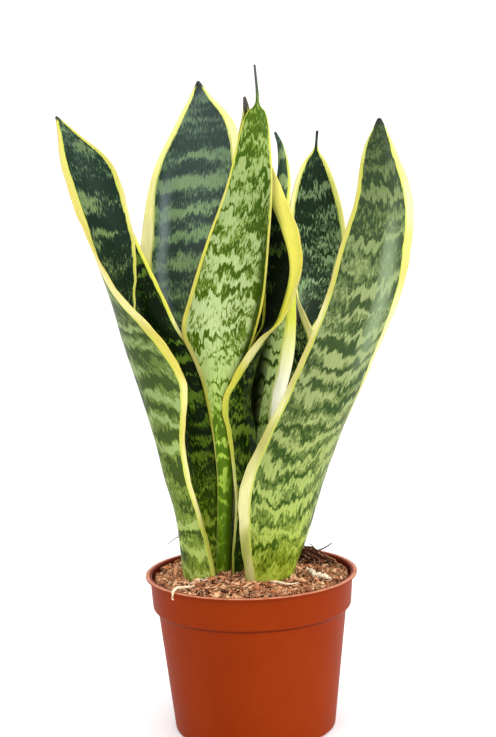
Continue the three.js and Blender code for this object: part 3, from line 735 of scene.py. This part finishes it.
def rounded(profile, steps=5):
    """The profile with each corner turned into a short arc-like curve."""
    made = []
    for i, (radius, height, rounding) in enumerate(profile):
        corner = Vector((radius, height))
        if rounding == 0:
            made.append(corner)
            continue
        before = Vector(profile[i - 1][:2]) - corner
        after = Vector(profile[i + 1][:2]) - corner
        reach = min(rounding, before.length * 0.48, after.length * 0.48)
        start, end = corner + before.normalized() * reach, corner + after.normalized() * reach
        for k in range(steps + 1):
            t = k / steps
            made.append((1 - t) ** 2 * start + 2 * t * (1 - t) * corner + t * t * end)
    return made


def closed_rings(rings, bottom, top):
    """The points and faces of rings round the pot's axis, closed at two heights on it."""
    steps = len(rings[0])
    points = np.vstack(rings + [[[0, 0, bottom], [0, 0, top]]])
    faces = join_rings(len(rings), steps)
    last = (len(rings) - 1) * steps
    faces += [((j + 1) % steps, j, len(points) - 2) for j in range(steps)]
    faces += [(last + j, last + (j + 1) % steps, len(points) - 1) for j in range(steps)]
    return points, faces


def level_rings(profile, steps):
    """A level ring of points for each radius and height of a profile."""
    turns = 2 * np.pi * np.arange(steps) / steps
    return [np.stack([r * np.cos(turns), r * np.sin(turns), 0 * turns + z], -1) for r, z in profile]


print("pot profile:", len(rounded(POT_PROFILE)), "points")

# %% [markdown]
# Polypropylene has an IOR of 1.49. The dye is even. What the eye sees besides it is the
# mould's satin and a faint mottle. Thin dark lines under the collar and the lip are painted
# shade, and salmon patches on top of the lip are a painted highlight. From just under the
# soil's edge up to the lip the inside is darker. The sizes of the three noises are millimetres,
# and so are the other places.

# %% The pot's plastic
POLYPROPYLENE_IOR = 1.49
MOTTLE_SIZE, SATIN_SIZE, HIGHLIGHT_NOISE_SIZE = 45.45, 0.714, 3.846
MOTTLE = (0.3, 0.7)  # the part of the mottle's noise that is seen
MOTTLE_ROUGH = (0.42, 0.52)
INSIDE, INSIDE_DARK_HEIGHTS, INSIDE_DARKNESS = (56.8, 57.1), (82, 85), 0.6  # the darker inside: radii, heights, strength
LIP_HIGHLIGHT_HEIGHT, LIP_HIGHLIGHT_RADIUS = (89.6, 89.9), (57.6, 58.4)
LIP_HIGHLIGHT_PATCHES = (0.25, 0.6, 0.4, 0.9)  # between these values of its noise it goes from 0.4 to 0.9
SHADE_LINE_SPAN = (68, 90)
# Painted shade: dark lines in the corners under the collar and the lip, as shares of the way up the heights
# above.
PAINTED_SHADE_LINES = [(0.045, "#000000"), (0.07, "#C8C8C8"), (0.125, "#C8C8C8"), (0.14, "#000000"),
              (0.9, "#000000"), (0.93, "#A0A0A0"), (0.965, "#A0A0A0"), (0.975, "#000000")]
SATIN_RELIEF = 0.05


def moulded_polypropylene():
    """The pot's plastic, whose marks depend on the height and on the distance from the axis."""
    material, tree = new_material("moulded_terracotta_polypropylene")
    where = add(tree, "TexCoord", out="Object")
    mottle, satin, highlight_noise = (
        add(tree, "TexNoise", {
            "Vector": where, "Scale": 1 / (size * MM), "Detail": detail, "Roughness": lumpy})
        for size, detail, lumpy in (
            (MOTTLE_SIZE, 4.0, 0.6), (SATIN_SIZE, 2.0, 0.5), (HIGHLIGHT_NOISE_SIZE, 3.0, 0.6)))
    height = add(tree, "SeparateXYZ", {"Vector": where}, out="Z")
    radius = add(tree, "VectorMath", {0: where, 1: (1, 1, 0)}, operation="MULTIPLY")
    radius = add(tree, "VectorMath", {0: radius}, out="Value", operation="LENGTH")
    darker_inside = product(tree, [(radius, INSIDE[0] * MM, INSIDE[1] * MM, INSIDE_DARKNESS, 0.0),
                             (height, INSIDE_DARK_HEIGHTS[0] * MM, INSIDE_DARK_HEIGHTS[1] * MM, 0.0, 1.0)])
    # Painted highlight: salmon patches on top of the lip.
    painted_lip_highlight = product(tree, [(height, LIP_HIGHLIGHT_HEIGHT[0] * MM, LIP_HIGHLIGHT_HEIGHT[1] * MM, 0.0, 1.0),
                            (radius, LIP_HIGHLIGHT_RADIUS[0] * MM, LIP_HIGHLIGHT_RADIUS[1] * MM, 0.0, 1.0),
                            (highlight_noise, *LIP_HIGHLIGHT_PATCHES)])
    # Painted shade: thin dark lines under the collar and under the lip.
    painted_shade_mask = add(tree, "MapRange", {0: height, 1: SHADE_LINE_SPAN[0] * MM, 2: SHADE_LINE_SPAN[1] * MM})
    painted_shade_mask = add(tree, "ValToRGB", {"Fac": painted_shade_mask}, stops=PAINTED_SHADE_LINES)
    dark = add(tree, "Math", {0: darker_inside, 1: painted_shade_mask}, operation="MAXIMUM")
    colour = add(tree, "ValToRGB", {"Fac": mottle}, stops=[(MOTTLE[0], "#782502"), (MOTTLE[1], "#802B04")])
    colour = add(tree, "Mix", {0: dark, 6: colour, 7: "#4E1506"}, **TWO_COLOURS)
    colour = add(tree, "Mix", {0: painted_lip_highlight, 6: colour, 7: "#C98A6C"}, **TWO_COLOURS)
    rough = add(tree, "MapRange", {0: mottle, 1: MOTTLE[0], 2: MOTTLE[1],
                                   3: MOTTLE_ROUGH[0], 4: MOTTLE_ROUGH[1]})
    relief = add(tree, "Bump", {"Height": satin, "Strength": 0.2, "Distance": SATIN_RELIEF * MM})
    shader = add(tree, "BsdfPrincipled", {
        "Base Color": colour, "Roughness": rough, "Normal": relief, "IOR": POLYPROPYLENE_IOR,
        "Specular IOR Level": 0.04})
    add(tree, "OutputMaterial", {"Surface": shader})
    return material


def cut_drain_holes(pot):
    """Cuts the ring of holes through the pot's floor."""
    drill = bmesh.new()
    for i in range(HOLE_COUNT):
        turn = 2 * math.pi * (i + 0.5) / HOLE_COUNT
        place = Vector((HOLE_RING * math.cos(turn), HOLE_RING * math.sin(turn), 2)) * MM
        bmesh.ops.create_cone(
            drill, cap_ends=True, segments=40, radius1=HOLE_RADIUS * MM, radius2=HOLE_RADIUS * MM,
            depth=DRILL_LENGTH * MM, matrix=Matrix.Translation(place))
    mesh = bpy.data.meshes.new("drill")
    drill.to_mesh(mesh)
    drill.free()
    cutter = bpy.data.objects.new("drill", mesh)
    bpy.context.scene.collection.objects.link(cutter)
    cut = pot.modifiers.new("drain_holes", "BOOLEAN")
    cut.operation, cut.object, cut.solver = "DIFFERENCE", cutter, "EXACT"
    bpy.context.view_layer.update()
    pot.data = bpy.data.meshes.new_from_object(pot.evaluated_get(bpy.context.evaluated_depsgraph_get()))
    pot.modifiers.clear()
    bpy.data.objects.remove(cutter)


profile = rounded(POT_PROFILE)
points, faces = closed_rings(level_rings(profile[1:-1], POT_STEPS), profile[0].y, profile[-1].y)
pot = make_piece("grower_pot", points, faces, [moulded_polypropylene()], ["pot"])
cut_drain_holes(pot)
pot.data.set_sharp_from_angle(angle=math.radians(40))
print("pot faces after the drain holes:", len(pot.data.polygons))

# %% [markdown]
# ## The soil
#
# Potting soil for these plants is peat and coco chips: light brown lumps from dust to 5 mm,
# with dark gaps between them and tan fibres over them. A bumpy disc alone looks like felt, so
# there are layers: a dark solid body whose top is pushed up and down by noise, then loose
# crumbs, flat chips and fibres. Each loose piece has a shade of its own, which the material
# reads. The roots and dry strands are plant matter too, so they share the recipe.

# %% The soil's material
PEAT_IOR = 1.5
PEAT_GRAIN, PEAT_RELIEF = 1.111, 0.4
GRAIN_SHARE = 0.7  # how far the fine grain changes a crumb's shade


def peat_and_coir(name, low, middle, high):
    """Dull crumbly stuff in three browns, by each crumb's own shade and a fine grain."""
    material, tree = new_material(name)
    shade = add(tree, "Attribute", out="Fac", attribute_name="shade")
    where = add(tree, "TexCoord", out="Object")
    grain = add(tree, "TexNoise", {
        "Vector": where, "Scale": 1 / (PEAT_GRAIN * MM), "Detail": 4.0, "Roughness": 0.7})
    mixed = add(tree, "Math", {0: grain, 1: GRAIN_SHARE, 2: shade}, operation="MULTIPLY_ADD")
    mixed = add(tree, "Math", {0: mixed, 1: GRAIN_SHARE / 2}, operation="SUBTRACT")
    colour = add(tree, "ValToRGB", {"Fac": mixed}, stops=[(0.05, low), (0.5, middle), (0.95, high)])
    relief = add(tree, "Bump", {"Height": grain, "Strength": 0.8, "Distance": PEAT_RELIEF * MM})
    shader = add(tree, "BsdfPrincipled", {
        "Base Color": colour, "Roughness": 0.95, "Normal": relief, "IOR": PEAT_IOR,
        "Specular IOR Level": 0.2})
    add(tree, "OutputMaterial", {"Surface": shader})
    return material


peat = peat_and_coir("dark_peat", "#1E0A04", "#5A301A", "#A06C48")
coco = peat_and_coir("coco_crumbs", "#562614", "#C27E54", "#F0C498")
coir = peat_and_coir("coir_fibre", "#5A2C14", "#C08A60", "#ECCCA0")
root_skin = peat_and_coir("dry_root_skin", "#C8A87C", "#F2DEBC", "#FFF6E4")
dry_fibre = peat_and_coir("dark_dry_fibre", "#20100A", "#4C281A", "#8E5A3C")
grey_fibre = peat_and_coir("grey_dry_fibre", "#7A7268", "#A8A098", "#CFC8C0")
print("soil materials:", *[m.name for m in (peat, coco, coir, root_skin, dry_fibre, grey_fibre)])

# %% [markdown]
# The body fills the pot to 3 mm under the lip, and is mounded by 2 mm in the middle. Its top is
# made of many rings, which three layers of noise push up and down: lumps, crumbs and grains.

# %% The soil's body
SOIL_RADIUS, SOIL_EDGE, SOIL_MOUND, SOIL_FLOOR = 55.4, 87.1, 1.9, 4.2
SOIL_BUMPS = [(1.8, 9, 1.7), (1.1, 3.2, 5.1), (0.5, 1.4, 9.3)]  # height, distance apart, seed
SOIL_WALL = [(36, SOIL_FLOOR), (43, 6.5), (50.6, 60), (51.9, 70.2), (54.6, 73), (55.6, 84)]
SOIL_STEPS, SOIL_RINGS = 240, 80
SHADE_SIZE, SHADE_SEED = 5, 3


def bumps(x, y, size, layer):
    """Noise over the ground, between about -1 and 1, with bumps as far apart as size."""
    return noise.noise(Vector((x / size, y / size, layer)))


def soil_height(x, y):
    """The height of the soil's rough top, in millimetres."""
    level = SOIL_EDGE + SOIL_MOUND * (1 - min(1.0, math.hypot(x, y) / SOIL_RADIUS) ** 2)
    for height, size, layer in SOIL_BUMPS:
        level += height * bumps(x, y, size, layer)
    return level


def soil_body():
    """The body's points, faces and shades: its wall, then rings to the middle of its top."""
    rings = level_rings(SOIL_WALL, SOIL_STEPS)
    for k in range(SOIL_RINGS):
        radius = SOIL_RADIUS * (1 - k / SOIL_RINGS)
        ring = level_rings([(radius, 0)], SOIL_STEPS)[0]
        rings.append(np.array([(x, y, soil_height(x, y)) for x, y, z in ring]))
    points, faces = closed_rings(rings, SOIL_FLOOR, soil_height(0, 0))
    shade = [0.3 + 0.35 * bumps(x, y, SHADE_SIZE, SHADE_SEED) for x, y, z in points]
    return points, faces, shade


points, faces, shade = soil_body()
make_piece("soil_body", points, faces, [peat], ["soil"], {"shade": shade})

# %% [markdown]
# A crumb is a small icosphere, squashed and dented at random, and a chip is a long flat one.
# Small ones far outnumber large ones, as in a sieve test. There are four kinds, clods, crumbs,
# dust and chips, and each is one mesh, so that the part stays light. At the back right, where
# the dry strands lie, the soil is loose, and that patch gets darker shades and fewer crumbs.

# %% Crumbs and chips
DARK_PATCH, DARK_RADIUS = (36, 26), 21
DARK_THINNING, DARK_SHADE = 0.6, 0.5  # the share of crumbs left out in its middle, and the shade lost
DENT_SIZE, DENT_HEIGHT = 2.2, 0.6
rng = np.random.RandomState(7)


def icosphere(subdivisions):
    """The points and faces of a ball of radius 1."""
    ball = bmesh.new()
    bmesh.ops.create_icosphere(ball, subdivisions=subdivisions, radius=1)
    points = np.array([v.co for v in ball.verts])
    faces = np.array([[v.index for v in f.verts] for f in ball.faces])
    ball.free()
    return points, faces


def random_turn():
    """A rotation matrix in any direction."""
    return np.linalg.qr(rng.normal(size=(3, 3)))[0]


def flat_turn():
    """A rotation matrix about the upright, tipped a little."""
    tip, turn = rng.normal(0, 0.35, 2), rng.uniform(0, 2 * math.pi)
    turned = Matrix.Rotation(turn, 3, "Z") @ Matrix.Rotation(tip[0], 3, "X")
    return np.array(turned @ Matrix.Rotation(tip[1], 3, "Y"))


def in_dark_patch(x, y):
    """1 in the middle of the loose dark patch, falling to 0 at its rim."""
    return max(0.0, 1 - (math.hypot(x - DARK_PATCH[0], y - DARK_PATCH[1]) / DARK_RADIUS) ** 2)


def scatter(count, detail, make_size, squash, turn_of, dent, lift):
    """Loose dented lumps on the soil, as one mesh's points, faces and shades."""
    ball, ball_faces = icosphere(detail)
    points, faces, shades = [], [], []
    while len(points) < count:
        size = make_size()
        radius, turn = (SOIL_RADIUS - size - 0.2) * math.sqrt(rng.uniform()), rng.uniform(0, 2 * math.pi)
        x, y = radius * math.cos(turn), radius * math.sin(turn)
        dark = in_dark_patch(x, y)
        if rng.uniform() < dark * DARK_THINNING:
            continue
        knobs = [DENT_HEIGHT * noise.noise(Vector(v * DENT_SIZE) + Vector((x, y, size))) for v in ball]
        dents = 1 + dent * rng.normal(size=(len(ball), 1)) + np.array(knobs)[:, None]
        shape = (ball * dents * squash() * size) @ turn_of().T
        faces.append(ball_faces + len(points) * len(ball))
        points.append(shape + [x, y, soil_height(x, y) + size * rng.uniform(*lift)])
        shades.append(np.full(len(ball), rng.uniform(0.15, 0.9) - DARK_SHADE * dark))
    return np.vstack(points), np.vstack(faces).tolist(), np.concatenate(shades)


def crumb_shape():
    """The three sizes of a crumb, as shares."""
    return rng.uniform(0.55, 1.25, 3)


def chip_shape():
    """The same for a chip, which is long, narrow and flat."""
    return np.array([rng.uniform(0.8, 1.4), rng.uniform(0.3, 0.6), rng.uniform(0.16, 0.35)])


# How many, subdivisions, radius in mm, shape, turn, how dented, how far over the soil in radii.
LUMPS = {
    "coco_clods": (
        130, 3, lambda: rng.uniform(0.9, 1.9), crumb_shape, random_turn, 0.12, (-0.2, 0.4)),
    "coco_crumbs": (
        2100, 2, lambda: 0.42 * math.exp(rng.normal(0, 0.45)) + 0.12, crumb_shape, random_turn, 0.3,
        (0.1, 1.2)),
    "coco_dust": (
        7000, 1, lambda: rng.uniform(0.18, 0.42), crumb_shape, random_turn, 0.3, (0.2, 2.6)),
    "coco_chips": (
        1300, 2, lambda: min(3.2, 0.95 * math.exp(rng.normal(0, 0.4))), chip_shape, flat_turn, 0.14,
        (0.35, 1.3)),
}
for name, kind in LUMPS.items():
    points, faces, shade = scatter(*kind)
    make_piece(name, points, faces, [coco], (), {"shade": shade})

# %% [markdown]
# ## Fibres, strands and roots
#
# They are all tubes along a wandering line. The coir fibres lie on the soil. A tube closes at
# both ends, and many tubes are joined into one mesh.


# %% Tubes
FIBRE_SIDES, FIBRE_STEPS = 5, 8


def tube(line, radii, sides):
    """The points and faces of a round tube along a line, closed at both ends."""
    line = np.asarray(line, float)
    ahead = np.gradient(line, axis=0)
    ahead /= np.linalg.norm(ahead, axis=1)[:, None]
    side = np.cross(ahead, [0.31, 0.17, 0.93])
    side /= np.linalg.norm(side, axis=1)[:, None]
    up = np.cross(ahead, side)
    turns = 2 * np.pi * np.arange(sides) / sides
    rings = line[:, None] + np.asarray(radii)[:, None, None] * (
        np.cos(turns)[None, :, None] * side[:, None] + np.sin(turns)[None, :, None] * up[:, None])
    faces = join_rings(len(line), sides)
    last = (len(line) - 1) * sides
    faces += [tuple(range(sides))[::-1], tuple(range(last, last + sides))]
    return rings.reshape(-1, 3), faces


def joined(tubes):
    """The points and faces of many tubes as one mesh's."""
    points, faces, first = [], [], 0
    for tube_points, tube_faces in tubes:
        points.append(tube_points)
        faces += [tuple(first + v for v in face) for face in tube_faces]
        first += len(tube_points)
    return np.vstack(points), faces


def bundle(lines, thickness, shade_range):
    """Many thin tubes as one mesh's points, faces and shades."""
    tubes, shades = [], []
    for line in lines:
        taper = np.interp(np.linspace(0, 1, len(line)), (0, 0.2, 0.8, 1), (0.4, 1, 0.9, 0.3))
        tubes.append(tube(line, thickness * rng.uniform(0.5, 1.2) * taper, FIBRE_SIDES))
        shades.append(np.full(len(tubes[-1][0]), rng.uniform(*shade_range)))
    points, faces = joined(tubes)
    return points, faces, np.concatenate(shades)


def lying_fibre(longest):
    """A line that wanders over the soil and arches a little off it."""
    length = rng.uniform(0.25, 1) * longest
    radius, turn = (SOIL_RADIUS - 2) * math.sqrt(rng.uniform()), rng.uniform(0, 2 * math.pi)
    at = np.array([radius * math.cos(turn), radius * math.sin(turn)])
    heading, lift, arch = rng.uniform(0, 2 * math.pi), rng.uniform(0.3, 1.2), rng.uniform(0, 1.2)
    line = []
    for k in range(FIBRE_STEPS + 1):
        heading += rng.normal(0, 0.28)
        if np.hypot(*at) > SOIL_RADIUS - 1:
            heading = math.atan2(-at[1], -at[0])
        line.append((*at, soil_height(*at) + lift + arch * math.sin(math.pi * k / FIBRE_STEPS)))
        at = at + length / FIBRE_STEPS * np.array([math.cos(heading), math.sin(heading)])
    return line


FIBRE_COUNT, FIBRE_LENGTH = 560, 11
STRAW_COUNT, STRAW_LENGTH, STRAW_SIDE = 60, 17, 22  # straws start to the right of this x
points, faces, shade = bundle([lying_fibre(FIBRE_LENGTH) for _ in range(FIBRE_COUNT)], 0.13, (0.2, 1.0))
make_piece("coir_fibres", points, faces, [coir], (), {"shade": shade})
straws = []
while len(straws) < STRAW_COUNT:
    line = lying_fibre(STRAW_LENGTH)
    if line[0][0] > STRAW_SIDE:
        straws.append(line)
points, faces, shade = bundle(straws, 0.26, (0.3, 0.85))
make_piece("coir_straws", points, faces, [coir], (), {"shade": shade})

# %% [markdown]
# Behind the right leaf a tuft of old leaf-sheath strands leans out to the pot's edge, dark
# ones and a few tan ones, all running the same way.


# %% The tuft of dry strands
def leaning_strand():
    """A line from the right leaf's back out to the pot's edge."""
    start = np.array([rng.uniform(22, 35), rng.uniform(27, 43), rng.uniform(89, 96.5)])
    turn, radius = math.radians(rng.uniform(6, 52)), rng.uniform(42, 54.5)
    end = np.array([radius * math.cos(turn), radius * math.sin(turn), 0])
    end[2] = soil_height(end[0], end[1]) + rng.uniform(0.4, 1.4)
    t = np.linspace(0, 1, 11)[:, None]
    sway = np.array([0, 0, rng.uniform(-1.0, 2.4)]) * np.sin(np.pi * t)
    wobble = rng.normal(0, 0.5, (11, 3))
    return start + (end - start) * t + sway + wobble


# How many, thickness in mm, shades, material.
TUFT = {
    "dark_sheath_strands": (80, 0.46, (0.1, 0.9), dry_fibre),
    "tan_sheath_strands": (34, 0.4, (0.3, 0.8), coir),
}
for name, (count, thickness, shades, finish) in TUFT.items():
    points, faces, shade = bundle([leaning_strand() for _ in range(count)], thickness, shades)
    make_piece(name, points, faces, [finish], (), {"shade": shade})

# %% [markdown]
# The pale roots are shrivelled and split, so each is a few threads that wander round one line.
# These six stand out by their size, so they follow the CAD model's own lines. The dry ones are
# single threads.

# %% The roots and dry strands: material, shade, thickness, threads, line
STRANDS = {
    "root_over_lip": (root_skin, 0.45, 1.8, 4, [
        (-30, -27.5, 89.6), (-36.5, -32.5, 90.2), (-40.6, -38.2, 91.7), (-42.9, -43.9, 91),
        (-43.2, -44.6, 86.4)]),
    "root_right": (root_skin, 0.7, 3, 12, [
        (31, -0.4, 90.9), (33.6, -8, 91.3), (35.5, -15.5, 90.6), (39, -18, 91), (43.5, -22, 90)]),
    "root_front": (root_skin, 0.45, 1.4, 3, [
        (10.5, -27, 90.6), (15, -30, 90.9), (20, -32.5, 90.4), (26, -28.5, 89.8)]),
    "fibre_back": (dry_fibre, 0.45, 0.9, 1, [
        (31, 34, 89.2), (38, 38, 90.6), (43.5, 38.5, 92.6), (48, 36.5, 96)]),
    "fibre_back_low": (dry_fibre, 0.45, 0.9, 1, [(21, 41, 88.9), (32, 29, 89.2), (50, 17, 88.8)]),
    "fibre_left": (grey_fibre, 0.45, 0.8, 1, [
        (-33, 13, 89.4), (-35, 14, 103), (-41, 14, 107.6), (-47.3, 14, 103.8)]),
}
THREAD_SIDES, THREAD_SHORTEST, LINE_STEPS = 10, 6, 14


def threads(line, thickness, count):
    """A root as threads that wander round its line, or one tapered thread."""
    tubes = []
    for k in range(count):
        start, stop = 0, len(line)
        if k > 0:
            start, stop = sorted(rng.choice(len(line), 2, replace=False) + [0, 1])
        part = line[start:max(stop, start + THREAD_SHORTEST)]
        steps = np.arange(len(part))
        spread = thickness * (0.25 if k == 0 else 0.5)
        wander = np.stack([waves(steps, (9, 5, 3.4), 10 * k + axis + len(line)) for axis in range(3)], -1)
        taper = 0.5 + 0.5 * np.sin(np.pi * np.clip(steps / (len(part) - 1), 0.05, 0.95))
        knobs = 1 + 0.25 * waves(steps, (6, 4, 2.7), 5 + k)
        size = thickness / 2 * (1 if count == 1 else 0.75 / math.sqrt(k + 1) if count < 8 else 0.36)
        tubes.append(tube(part + wander * spread, size * taper * knobs, THREAD_SIDES))
    return joined(tubes)


for name, (finish, shade, thickness, count, stations) in STRANDS.items():
    points, faces = threads(smooth_rows(stations, LINE_STEPS), thickness, count)
    shades = {"shade": np.full(len(points), shade)}
    make_piece(f"{name}_strand", points, faces, [finish], [name], shades)

# %% [markdown]
# Short pale root hairs show where the left leaf's foot meets the soil.


# %% Root hairs
HAIR_STEPS, HAIR_LIFT, HAIR_COUNT = 6, 1.2, 16


def root_hair():
    """A short line over the soil in front of the left leaf's foot."""
    at = np.array([rng.uniform(-33, -19), rng.uniform(-20, -14), 0])
    heading, length = rng.uniform(-2.9, -0.4), rng.uniform(3, 7)
    line = []
    for k in range(HAIR_STEPS + 1):
        at[2] = soil_height(at[0], at[1]) + HAIR_LIFT + math.sin(math.pi * k / HAIR_STEPS)
        line.append(at.copy())
        heading += rng.normal(0, 0.4)
        at[:2] += length / HAIR_STEPS * np.array([math.cos(heading), math.sin(heading)])
    return line


points, faces, shade = bundle([root_hair() for _ in range(HAIR_COUNT)], 0.2, (0.4, 0.7))
make_piece("root_hairs", points, faces, [root_skin], (), {"shade": shade})

# %% [markdown]
# The rhizome is buried and stays as the CAD model has it, with the roots' own skin.

# %% The rhizome
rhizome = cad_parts["rhizome"]
rhizome.data.materials.clear()
rhizome.data.materials.append(root_skin)
print("rhizome:", len(rhizome.data.polygons), "faces")

# %% [markdown]
# ## Studio, light and camera
#
# The plant stands on a white floor in a white tent, the softest light there is: the world is
# plain white. Four weak lamps give it shape: a large softbox above the front, a tall strip at
# the right, one in front, and a low one at the left for the pot's left side. The bright streak
# on the right leaf is painted sheen, in the leaf's skin.

# %% Floor and light
paper, tree = new_material("white_paper_floor")
shader = add(tree, "BsdfPrincipled", {"Base Color": "#FBFBFB", "Roughness": 0.9})
add(tree, "OutputMaterial", {"Surface": shader})
bpy.ops.mesh.primitive_circle_add(vertices=96, radius=8, fill_type="NGON", location=(0, 0, -0.0002))
floor = bpy.context.object
floor.name = "floor"
floor.data.materials.append(paper)

world = bpy.data.worlds.new("white_tent")
bpy.context.scene.world = world
world.use_nodes = True
world.node_tree.nodes.clear()
glow = add(world.node_tree, "Background", {"Color": "#FFFFFF", "Strength": 1.2})
add(world.node_tree, "OutputWorld", {"Surface": glow})

# Place, the point it is aimed at, width and height in metres, power in watts.
LAMPS = {
    "top_softbox": ((-0.3, -0.7, 1.9), (0, 0, 0.2), 0.8, 0.8, 6),
    "right_strip_softbox": ((1.14, -0.71, 0.53), (0, 0, 0.24), 0.16, 0.9, 12),
    "front_softbox": ((0.15, -1.5, 0.8), (0, 0, 0.22), 0.5, 0.5, 3),
    "left_softbox": ((-1.3, -0.5, 0.2), (0, 0, 0.08), 0.5, 0.5, 3),
}
for name, (place, aim, width, height, power) in LAMPS.items():
    lamp = bpy.data.lights.new(name, "AREA")
    lamp.shape, lamp.size, lamp.size_y, lamp.energy = "RECTANGLE", width, height, power
    holder = bpy.data.objects.new(name, lamp)
    bpy.context.scene.collection.objects.link(holder)
    holder.location = place
    holder.rotation_euler = (Vector(aim) - Vector(place)).to_track_quat("-Z", "Y").to_euler()
bpy.context.scene.view_settings.view_transform = "Standard"
print("lamps:", *LAMPS)

# %% [markdown]
# The camera stands 1 m from the pot's top and 14.6 degrees above it, with a long lens, and is
# rolled by 1.7 degrees.

# %% Camera
PICTURE_HEIGHT, FOCAL_PIXELS, SENSOR = 737, 1750, 36
CAMERA_PLACE, CAMERA_AIM, CAMERA_ROLL = (0, -967.7, 342.1), (1.5, 0, 206), -1.7
place = Vector(CAMERA_PLACE) * MM
ahead = (Vector(CAMERA_AIM) * MM - place).normalized()
right = ahead.cross(Vector((0, 0, 1))).normalized()
right = Matrix.Rotation(math.radians(CAMERA_ROLL), 3, -ahead) @ right
up = right.cross(ahead)
camera = bpy.data.objects.new("camera", bpy.data.cameras.new("camera"))
camera.data.sensor_width = SENSOR
camera.data.lens = SENSOR * FOCAL_PIXELS / PICTURE_HEIGHT
camera.matrix_world = Matrix((right, up, -ahead)).transposed().to_4x4()
camera.location = place
bpy.context.scene.collection.objects.link(camera)
bpy.context.scene.camera = camera
print("lens:", round(camera.data.lens, 1), "mm")
